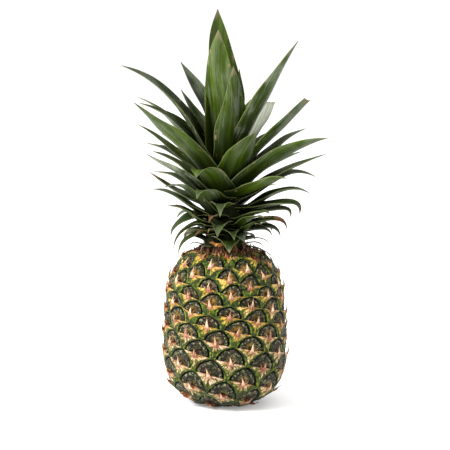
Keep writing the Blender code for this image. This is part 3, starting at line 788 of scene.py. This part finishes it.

# The leaves that the view shows, from the lowest up: azimuth, height of the root on the stem, reach
# and height of the tip, width, rise of the leaf at its root and slope at its tip, roll, form, then
# its green, from 0 for dark to 1 for bright or 2 for silvery, less than 0 for dark without any bloom,
# and the share of it that is dry, or 2 for a leaf long dead, painted near black as shade.
LEAVES = (
    (78, 144, 51, 131, 3, 8, -35, 0, "thread", 0.35, 0.05),
    (62, 146, 41, 145, 4, 15, -50, 0, "thread", 0.3, 0.05),
    (92, 148, 43, 142, 4, 25, -65, 0, "thread", 0.3, 0.1),
    (-48, 144, 44, 147, 4, 8, -70, 0, "thread", 0.35, 0.1),
    (-42, 144, 32, 144, 4, 8, -75, 0, "thread", 1.0, 0.7),
    (-14, 144, 34, 149, 20, 20, -30, 0, "scale", 0.5, 1.0),
    (5, 151, 45, 145, 28, 0, -65, 0, "scale", 0.55, 0.0),
    (-77, 155, 43, 138, 10, 22, -82, -10, "blade", 0.5, 0.05),
    (-97, 161, 47, 140, 11, 35, -85, -10, "blade", 0.5, 0.03),
    (-65, 155, 41, 156, 14, 25, -55, -10, "scale", 0.4, 0.1),
    (-40, 155, 41, 158, 12, 25, -45, 0, "scale", 0.4, 0.35),
    (-25, 156, 36, 161, 10, 25, -50, 0, "scale", 0.5, 0.2),
    (24, 157, 43, 153, 20, -5, -55, 0, "scale", 0.3, 0.05),
    (10, 158, 47, 157, 20, 5, -55, 0, "scale", 0.3, 0.0),
    (66, 157, 46, 156, 14, 8, -70, 10, "scale", 0.3, 0.05),
    (48, 155, 44, 167, 11, 10, -30, 0, "blade", 0.35, 0.05),
    (86, 158, 50, 153, 10, 12, -75, 15, "blade", 0.3, 0.12),
    (72, 161, 58, 162, 10, 15, -82, 15, "blade", 0.25, 0.4),
    (34, 161, 61, 177, 12, 5, -15, 0, "blade", 0.45, 0.05),
    (-70, 161, 56, 183, 12, 25, 0, -15, "blade", 0.35, 0.04),
    (-8, 165, 48, 160, 22, 5, -62, 0, "scale", 0.5, 0.0),
    (-84, 167, 49, 153, 14, 35, -85, -15, "blade", 0.45, 0.05),
    (42, 167, 59, 180, 13, 5, -12, 0, "blade", 0.5, 0.05),
    (-80, 168, 66, 197, 12, 26, 4, -15, "blade", 0.35, 0.03),
    (-18, 169, 46, 172, 15, 15, -55, 0, "scale", 0.4, 0.3),
    (84, 169, 59, 171, 12, 8, -100, 15, "blade", 0.35, 0.08),
    (-56, 170, 65, 202, 13, 42, -15, 10, "blade", 0.45, 0.03),
    (84, 172, 77, 192, 15, 20, -38, 10, "blade", 0.35, 0.03),
    (74, 175, 69, 176, 15, 4, -100, 15, "blade", 0.4, 0.1),
    (-98, 177, 69, 210, 13, 22, 40, -15, "blade", 0.3, 0.15),
    (-4, 181, 62, 180, 25, 0, -68, 0, "scale", 0.55, 0.0),
    (92, 181, 82, 206, 16, 24, -30, 18, "blade", 0.3, 0.04),
    (-26, 183, 56, 194, 27, 10, -62, 0, "scale", 0.55, 0.0),
    (-68, 184, 75, 231, 16, 38, 32, 12, "blade", 0.35, 0.02),
    (-104, 184, 68, 228, 13, 45, 15, -15, "blade", 0.6, 0.03),
    (88, 185, 92, 228, 14, 24, 14, 15, "blade", 0.5, 0.05),
    (47, 188, 75, 212, 20, 12, 0, -15, "blade", 0.85, 0.04),
    (-122, 189, 85, 232, 18, 52, 8, -15, "blade", 0.2, 0.05),
    (-108, 190, 85, 252, 12, 52, 28, -15, "blade", 0.6, 0.05),
    (62, 190, 102, 247, 24, 38, 10, -22, "blade", 0.65, 0.04),
    (108, 192, 78, 248, 20, 42, 22, 8, "blade", 0.3, 0.03),
    (-30, 190, 50, 212, 31, 45, -65, 0, "broad", 0.75, 0.0),
    (30, 195, 53, 252, 31, 62, 38, 0, "broad", 0.75, 0.0),
    (-60, 195, 92, 278, 26, 46, 36, 20, "blade", 0.7, 0.02),
    (-90, 197, 77, 273, 20, 60, 12, -22, "blade", 0.35, 0.02),
    (-85, 197, 92, 307, 24, 64, 18, -22, "blade", 0.3, 0.01),
    (76, 198, 76, 277, 20, 50, 42, -12, "cut", 0.6, 0.03),
    (138, 200, 59, 270, 27, 72, 62, 0, "cut", 2.0, 0.0),
    (-132, 201, 54, 282, 20, 82, 50, 0, "blade", 0.35, 0.02),
    (-142, 204, 66, 306, 24, 88, 42, 0, "blade", 0.3, 0.02),
    (66, 204, 70, 330, 24, 70, 55, -20, "blade", 0.5, 0.02),
    (22, 205, 20, 307, 28, 72, 94, 0, "broad", 0.65, 0.05),
    (140, 206, 20, 302, 18, 78, 98, 0, "blade", 0.1, 0.03),
    (-20, 208, 17, 339, 40, 84, 92, 0, "broad", 0.8, 0.05),
    (-150, 210, 13, 356, 42, 88, 92, 0, "broad", 1.0, 0.04),
)

# Short scales wrap the foot of the stem. They keep to the crown's own spiral, all round: lowest and
# highest root, reach, height of the tip over the root, width, rise, slope at the tip.
CROWN_TURN = 137.508
COLLAR_LEAVES = 11
COLLAR_ROOTS = (143.4, 158.5)
COLLAR_SIZE = (32.5, 7.3, 19.0, 30.0, -5.0)

# The leaves behind keep to the same spiral. These are their sizes at heights up the stem: root
# height, reach, tip height, width, rise, slope at the tip.
REAR_SIZES = (
    (147, 44, 144, 9, 10, -70), (157, 49, 150, 11, 15, -65), (167, 57, 173, 13, 20, -35),
    (177, 72, 200, 14, 24, -5), (189, 88, 235, 17, 42, 14), (197, 80, 269, 20, 58, 22),
    (204, 62, 297, 22, 76, 45),
)
SPIRAL_LEAVES = 66
SPIRAL_RISE = 0.803
REAR_FROM = 113.0
REAR_TO = 247.0
SPREAD = 0.10
REAR_ROLL = 12.0
REAR_SEED = 7


def collar_leaves():
    """The short scales round the foot of the stem, the lowest of them long dead and near black, painted
    shade.
    """
    reach, climb, width, rise, slope = COLLAR_SIZE
    low, high = COLLAR_ROOTS
    for leaf in range(COLLAR_LEAVES):
        share = leaf / (COLLAR_LEAVES - 1)
        height = low + (high - low) * share
        dry = 2.0 if share < 0.45 else 0.1
        yield leaf * CROWN_TURN, height, reach, height + climb, width, rise, slope, 0.0, "scale", -0.3, dry


def rear_leaves():
    """The leaves on the crown's far side, each a little unlike the last."""
    chance = random.Random(REAR_SEED)
    sizes = np.array(REAR_SIZES, float).T
    for leaf in range(SPIRAL_LEAVES):
        azimuth = leaf * CROWN_TURN % 360.0
        height = sizes[0, 0] + SPIRAL_RISE * leaf
        reach, tip_height, width, rise, slope = (np.interp(height, sizes[0], row) for row in sizes[1:])
        reach *= 1.0 + chance.uniform(-SPREAD, SPREAD)
        lift = (tip_height - height) * chance.uniform(-SPREAD, SPREAD)
        roll = chance.uniform(-REAR_ROLL, REAR_ROLL)
        if REAR_FROM < azimuth < REAR_TO:
            tone = 0.3 + 0.3 * (leaf % 5) / 4.0
            yield azimuth, height, reach, tip_height + lift, width, rise, slope, roll, "blade", tone, 0.04


def facing(azimuth, reach, height):
    """A direction or place at this azimuth."""
    angle = math.radians(azimuth)
    return np.array([reach * math.sin(angle), -reach * math.cos(angle), height])


def leaf_shell(leaf, chance):
    """Points, faces and marks of one leaf: rings round its section from root to tip."""
    azimuth, root_height, reach, tip_height, width, rise, slope, roll, form, tone, dry = leaf
    start_width, widening, taper, trough, tip_width = FORMS[form]
    stem = np.array(STEM).T
    root = np.array([np.interp(root_height, stem[1], stem[0]) - ROOT_DEPTH, root_height])
    tip = np.array([reach, tip_height])
    chord = math.dist(root, tip)
    sections = max(FEWEST_SECTIONS, round(chord / SECTION_LENGTH))
    rise, slope = math.radians(rise), math.radians(slope)
    near = root + HANDLE * chord * np.array([math.cos(rise), math.sin(rise)])
    far = tip - HANDLE * chord * np.array([math.cos(slope), math.sin(slope)])
    outward, across = facing(azimuth, 1.0, 0.0), facing(azimuth + 90.0, 1.0, 0.0)
    phases = chance.uniform(0.0, 2.0 * math.pi, 5)
    luck = chance.random()
    spread = np.linspace(-1.0, 1.0, ACROSS + 1)
    points, marks, faces = [], [], []
    for section in range(sections + 1):
        t = section / sections
        u = 1.0 - t
        r, z = u ** 3 * root + 3 * u * u * t * near + 3 * u * t * t * far + t ** 3 * tip
        run, climb = u * u * (near - root) + 2 * u * t * (far - near) + t * t * (tip - far)
        run, climb = np.array([run, climb]) / math.hypot(run, climb)
        upper = np.array([0.0, 0.0, run]) - outward * climb
        turn = math.radians(roll) * min(1.0, 2.0 * t) + TWIST * t * math.sin(5.0 * t + phases[0])
        side = across * math.cos(turn) + upper * math.sin(turn)
        face = upper * math.cos(turn) - across * math.sin(turn)
        loose = 4.0 * t * u * chord * SWAY
        centre = outward * r + np.array([0.0, 0.0, z])
        centre += side * loose * math.sin(7.0 * t + phases[1]) + face * loose * math.sin(6.0 * t + phases[2])
        half = width / 2.0 * (start_width + (1.0 - start_width) * min(1.0, t / widening))
        half *= tip_width + (1.0 - tip_width) * (1.0 - t ** taper)
        half *= 1.0 + PINCH * math.sin(11.0 * t + phases[3]) * min(1.0, 3.0 * t)
        half = max(half, NARROWEST)
        depth = 2.0 * half * trough * (1.0 - FLATTEN * t)
        thick = (KEEL_THICKNESS + (TIP_THICKNESS - KEEL_THICKNESS) * t) * min(1.0, half / 1.5)
        margin = min(MARGIN_THICKNESS, thick)
        wave = FLUTTER * half * np.sin(16.0 * t + phases[4] + 2.0 * np.sign(spread)) * np.abs(spread) ** 2
        middle = depth * spread ** 2 + wave
        gap = (margin + (thick - margin) * (1.0 - spread ** 2)) / 2.0
        for sign, row, lift in ((1.0, spread, middle + gap), (-1.0, spread[::-1], (middle - gap)[::-1])):
            points.extend(centre + side * half * a + face * b for a, b in zip(row, lift))
            marks.extend((half * a, chord * t, t, sign, luck, half, tone, dry, 0.0) for a in row)
    ring = 2 * (ACROSS + 1)
    for section in range(sections):
        start = section * ring
        for index in range(ring):
            after = (index + 1) % ring
            faces.append([start + after, start + index, start + ring + index, start + ring + after])
    faces.append(list(range(ring)))
    faces.append(list(range(len(points) - ring, len(points)))[::-1])
    return points, faces, marks


def leaf_skin():
    """Leathery leaf: satin, ribbed lengthwise, with a grey bloom in lines that is partly painted sheen,
    painted shade towards the root, and a dry tip.
    """
    leaf = Finish("leaf skin")
    across, along, share = leaf.mark("leaf_place")
    side, luck, half = leaf.mark("leaf_nature")
    tone, dry, _ = leaf.mark("leaf_state")
    outside = leaf.step(side, 1.0, -1.0)
    seed = leaf.calc("MULTIPLY", luck, 80.0)
    # Lines 0.8 mm apart that run for several centimetres, and bands about 3 mm apart.
    lines = leaf.drawn_out(across, along, seed, 1.3, 0.03, 4.0, 0.65)
    bands = leaf.drawn_out(across, along, seed, 0.3, 0.02, 3.0)
    clouds = leaf.drawn_out(across, along, seed, 0.12, 0.05, 3.0)
    dark = leaf.ramp(bands, (0.35, "#0B1405"), (0.5, "#142209"), (0.68, "#213311"))
    bright = leaf.ramp(bands, (0.35, "#304205"), (0.5, "#3F5407"), (0.68, "#51680E"))
    green = leaf.mix(tone, dark, bright)
    inside = leaf.step(outside, 0.0, 1.0, 0.45, 0.0)
    inside = leaf.calc("MULTIPLY", inside, leaf.step(tone, 0.3, 0.9, 1.0, 0.1))
    green = leaf.mix(inside, green, "#16220E")
    green = leaf.tint(leaf.step(lines, 0.5, 0.3, 0.0, 0.45), green, "#8A9A70")
    green = leaf.mix(leaf.step(tone, 1.1, 2.0), green, leaf.ramp(lines, (0.35, "#6E776A"), (0.6, "#C4C9BE")))
    # Painted shade towards the root, where the leaves crowd: darker and yellower there, least so on bright
    # leaves.
    foot_shade = leaf.calc("MULTIPLY", leaf.step(share, 0.62, 0.12), leaf.step(tone, 0.3, 0.75, 0.95, 0.75))
    green = leaf.tint(foot_shade, green, "#44480E")
    # The grey bloom lies in lines, more of it outside, towards the tip and on dark leaves; it is partly
    # real bloom and partly painted sheen.
    bloom_and_sheen = leaf.calc("ADD", leaf.calc("MULTIPLY", lines, 0.7), leaf.calc("MULTIPLY", clouds, 0.7))
    bloom_and_sheen = leaf.calc("MULTIPLY_ADD", share, 0.34, bloom_and_sheen)
    bloom_and_sheen = leaf.step(bloom_and_sheen, 0.84, 1.1, 0.0, 0.92)
    bloom_and_sheen = leaf.calc("MULTIPLY", bloom_and_sheen, leaf.step(outside, 0.0, 1.0, 0.3, 1.0))
    bloom_and_sheen = leaf.calc("MULTIPLY", bloom_and_sheen, leaf.step(tone, 0.3, 0.75, 1.0, 0.2))
    bloom_and_sheen = leaf.calc("MULTIPLY", bloom_and_sheen, leaf.step(tone, -0.2, 0.0))
    green = leaf.mix(bloom_and_sheen, green, "#959D90")
    # A thin pale margin.
    inset = leaf.calc("SUBTRACT", half, leaf.calc("ABSOLUTE", across))
    green = leaf.mix(leaf.step(inset, 0.5, 0.1, 0.0, 0.45), green, "#7E8C50")
    # Dry scars, a few millimetres across, where the margins have rubbed.
    scars = leaf.drawn_out(across, along, seed, 0.35, 0.12, 3.0, 0.6)
    scars = leaf.step(scars, 0.6, 0.66, 0.0, 0.75)
    scars = leaf.calc("MULTIPLY", scars, leaf.step(inset, 3.2, 0.6))
    green = leaf.mix(scars, green, "#8C7C5C")
    # The dry end, grey-brown, with a ragged border.
    left = leaf.calc("SUBTRACT", 1.0, share)
    left = leaf.calc("MULTIPLY_ADD", leaf.calc("SUBTRACT", bands, 0.5), 0.15, left)
    dried = leaf.step(leaf.calc("SUBTRACT", dry, left), -0.03, 0.03)
    husk = leaf.ramp(lines, (0.3, "#33211A"), (0.5, "#614631"), (0.7, "#9A7E5E"))
    husk = leaf.mix(leaf.step(tone, 0.5, 0.6), husk, "#77705A")
    tan = leaf.ramp(lines, (0.35, "#6A3618"), (0.5, "#A06836"), (0.65, "#CC965C"))
    husk = leaf.mix(leaf.step(dry, 0.75, 0.95), husk, tan)
    # Leaves long dead, and the stem, are near black: painted shade deep in the neck under the leaves.
    dead_in_shade = leaf.ramp(lines, (0.35, "#0C1006"), (0.65, "#242A12"))
    husk = leaf.mix(leaf.step(dry, 1.2, 1.9), husk, dead_in_shade)
    color = leaf.tint(1.0, leaf.mix(dried, green, husk), "#E0DED4")
    gloss = leaf.node("ShaderNodeMix", {0: dried, 2: leaf.step(lines, 0.2, 0.8, 0.32, 0.52), 3: 0.95})
    return leaf.surface(color, gloss, lines, 0.35, 0.5, 0.12)


def build_crown():
    chance = np.random.default_rng(LEAF_SEED)
    points, faces, marks = [], [], []
    for leaf in (*LEAVES, *collar_leaves(), *rear_leaves()):
        more_points, more_faces, more_marks = leaf_shell(leaf, chance)
        base = len(points)
        points.extend(more_points)
        faces.extend([base + index for index in face] for face in more_faces)
        marks.extend(more_marks)
    # The stem, with the marks of one wide leaf that is long dead, which paint it near black as shade
    # under the leaves.
    base = len(points)
    for radius, height in STEM:
        for side in range(STEM_SIDES):
            points.append(facing(360.0 * side / STEM_SIDES, radius, height))
            marks.append((side * 2.0, height, 0.0, 1.0, 0.5, 500.0, -0.3, 2.0, 0.0))
    for ring in range(len(STEM) - 1):
        for side in range(STEM_SIDES):
            a = base + ring * STEM_SIDES + side
            b = base + ring * STEM_SIDES + (side + 1) % STEM_SIDES
            faces.append([a, b, b + STEM_SIDES, a + STEM_SIDES])
    faces.append(list(range(base, base + STEM_SIDES))[::-1])
    faces.append(list(range(len(points) - STEM_SIDES, len(points))))
    marks = np.array(marks)
    named = {"leaf_place": marks[:, :3], "leaf_nature": marks[:, 3:6], "leaf_state": marks[:, 6:]}
    made = mesh_object("leaves", np.array(points) * MM, faces, named, leaf_skin())
    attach(made, "root")
    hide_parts("crown")


build_crown()


# The studio: a plain white table top, lit a little from within, that runs out of sight. Soft light
# comes from all round, with a large soft lamp high on the left and a weak one on the right, and the
# camera stands a little above the fruit's middle.

FLOOR_HALF = 3.0
VIEW_DISTANCE = 1.7
VIEW_ELEVATION = 9.0
VIEW_MIDDLE = 0.177
# The picture is 450 pixels across, 0.9 mm each at the fruit, with its middle this far below VIEW_MIDDLE.
VIEW_WIDTH = 0.405
VIEW_DROP = 0.0139
SENSOR = 36.0
TABLE_GLOW = 0.2
SKY_STRENGTH = 1.1
LAMP_AIM = (0.0, 0.0, 0.15)
# Name, place, size and power of each lamp.
LAMPS = (("key", (-1.3, -0.8, 1.35), 0.8, 66.0), ("fill", (1.3, -0.5, 0.9), 0.6, 1.0))


def build_studio():
    table = bpy.data.materials.new("white table")
    table.use_nodes = True
    shader = table.node_tree.nodes["Principled BSDF"]
    shader.inputs["Base Color"].default_value = linear("#FDFDFD")
    shader.inputs["Roughness"].default_value = 0.6
    shader.inputs["Emission Color"].default_value = linear("#FFFFFF")
    shader.inputs["Emission Strength"].default_value = TABLE_GLOW
    corners = [(x * FLOOR_HALF, y * FLOOR_HALF, 0.0) for x, y in ((-1, -1), (1, -1), (1, 1), (-1, 1))]
    mesh_object("floor", corners, [[0, 1, 2, 3]], {}, table)
    world = bpy.data.worlds.new("studio")
    world.use_nodes = True
    color, strength = world.node_tree.nodes["Background"].inputs[:2]
    color.default_value = linear("#FFFFFF")
    strength.default_value = SKY_STRENGTH
    bpy.context.scene.world = world
    bpy.context.scene.view_settings.view_transform = "Standard"
    for name, place, size, power in LAMPS:
        lamp = bpy.data.lights.new(name, "AREA")
        lamp.size = size
        lamp.energy = power
        made = bpy.data.objects.new(name, lamp)
        made.location = place
        made.rotation_euler = (Vector(LAMP_AIM) - Vector(place)).to_track_quat("-Z", "Y").to_euler()
        bpy.context.collection.objects.link(made)


def build_camera():
    angle = math.radians(VIEW_ELEVATION)
    back = Vector((0.0, -math.cos(angle), math.sin(angle)))
    above = Vector((0.0, math.sin(angle), math.cos(angle)))
    camera = bpy.data.cameras.new("camera")
    camera.sensor_width = SENSOR
    camera.lens = SENSOR * VIEW_DISTANCE / VIEW_WIDTH
    made = bpy.data.objects.new("camera", camera)
    made.location = Vector((0.0, 0.0, VIEW_MIDDLE)) - above * VIEW_DROP + back * VIEW_DISTANCE
    made.rotation_euler = (-back).to_track_quat("-Z", "Y").to_euler()
    bpy.context.collection.objects.link(made)
    bpy.context.scene.camera = made


build_studio()
build_camera()
